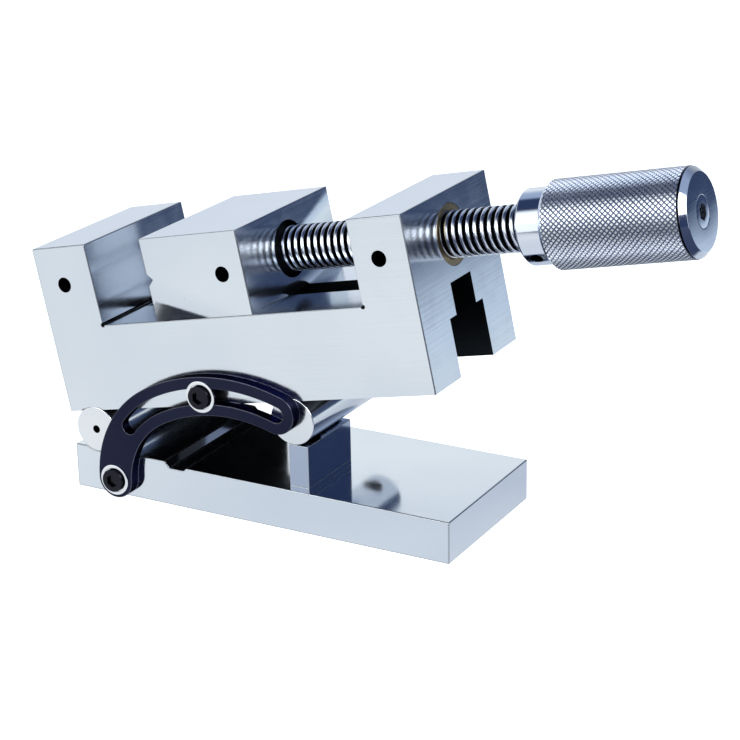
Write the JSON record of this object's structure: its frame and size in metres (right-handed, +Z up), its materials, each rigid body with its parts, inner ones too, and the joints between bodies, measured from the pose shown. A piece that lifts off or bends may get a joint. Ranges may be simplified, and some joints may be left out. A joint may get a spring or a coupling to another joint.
{
  "type": "tilting machine vise",
  "caption": "Screw vise hinged on a flat base, propped at an angle on gauge blocks, with a slotted locking link and a knurled handle.",
  "frame": {"origin": "centre of the base's underside", "axes": "+X along the base from the hinge towards the handle, +Y towards the back, away from the locking link, +Z up"},
  "size_m": [0.2861, 0.0806, 0.1624],
  "materials": {
    "ground_steel": "fine ground hardened steel",
    "polished_steel": "lapped",
    "plain_steel": "as machined",
    "thread_steel": "turned, oily",
    "handle_steel": "satin, knurled",
    "gauge_steel": "lapped",
    "blued_steel": "dark blued",
    "black_oxide": "black oxide",
    "bright_washer": "bright",
    "brass": "dull, oily"
  },
  "bodies": {
    "base": {"base_plate": "ground_steel", "hinge_eye_bolt": "plain_steel", "hinge_eye_nut": "plain_steel", "link_pivot_screw": "black_oxide", "link_pivot_washer": "bright_washer"},
    "vise": {"vise_body": "ground_steel", "hinge_roller": "polished_steel", "hinge_pin": "plain_steel", "hinge_roller_screws": "black_oxide", "sine_roller": "polished_steel", "sine_roller_screws": "black_oxide", "spindle_nut": "brass", "nut_set_screw": "black_oxide", "link_clamp_screw": "black_oxide", "link_clamp_washer": "bright_washer"},
    "link": {"locking_link": "blued_steel"},
    "jaw": {"movable_jaw": "ground_steel", "hold_down_plate": "plain_steel", "hold_down_screws": "black_oxide", "retaining_screw": "black_oxide", "thrust_ball": "polished_steel"},
    "spindle": {"lead_screw": "thread_steel", "handle": "handle_steel", "handle_set_screw": "black_oxide"},
    "gauge_stack": {"gauge_block_upper": "gauge_steel", "gauge_block_lower": "gauge_steel"}
  },
  "joints": [
    {"name": "tilt", "type": "hinge", "parent": "base", "child": "vise", "pos_m": [-0.0785, 0, 0.028], "axis": [0, -1, 0], "range_deg": [0, 33.17]},
    {"name": "link_swing", "type": "hinge", "parent": "base", "child": "link", "pos_m": [-0.0665, 0, 0.009], "axis": [0, -1, 0], "range_deg": [0, 36]},
    {"name": "jaw_slide", "type": "slide", "parent": "vise", "child": "jaw", "axis": [0.9788, 0, 0.205], "range_m": [-0.0278, 0.0511]},
    {"name": "screw_turn", "type": "hinge", "parent": "jaw", "child": "spindle", "pos_m": [0.07449, 0, 0.12441], "axis": [0.9788, 0, 0.205], "range_deg": [-3153, 5795]},
    {"name": "gauge_pull", "type": "slide", "parent": "base", "child": "gauge_stack", "axis": [0, -1, 0], "range_m": [0, 0.036]}
  ],
  "couplings": [
    {"joint": "link_swing", "follows": "tilt", "ratio": 1.08},
    {"joint": "screw_turn", "follows": "jaw_slide", "rad_per_m": 1979}
  ]
}
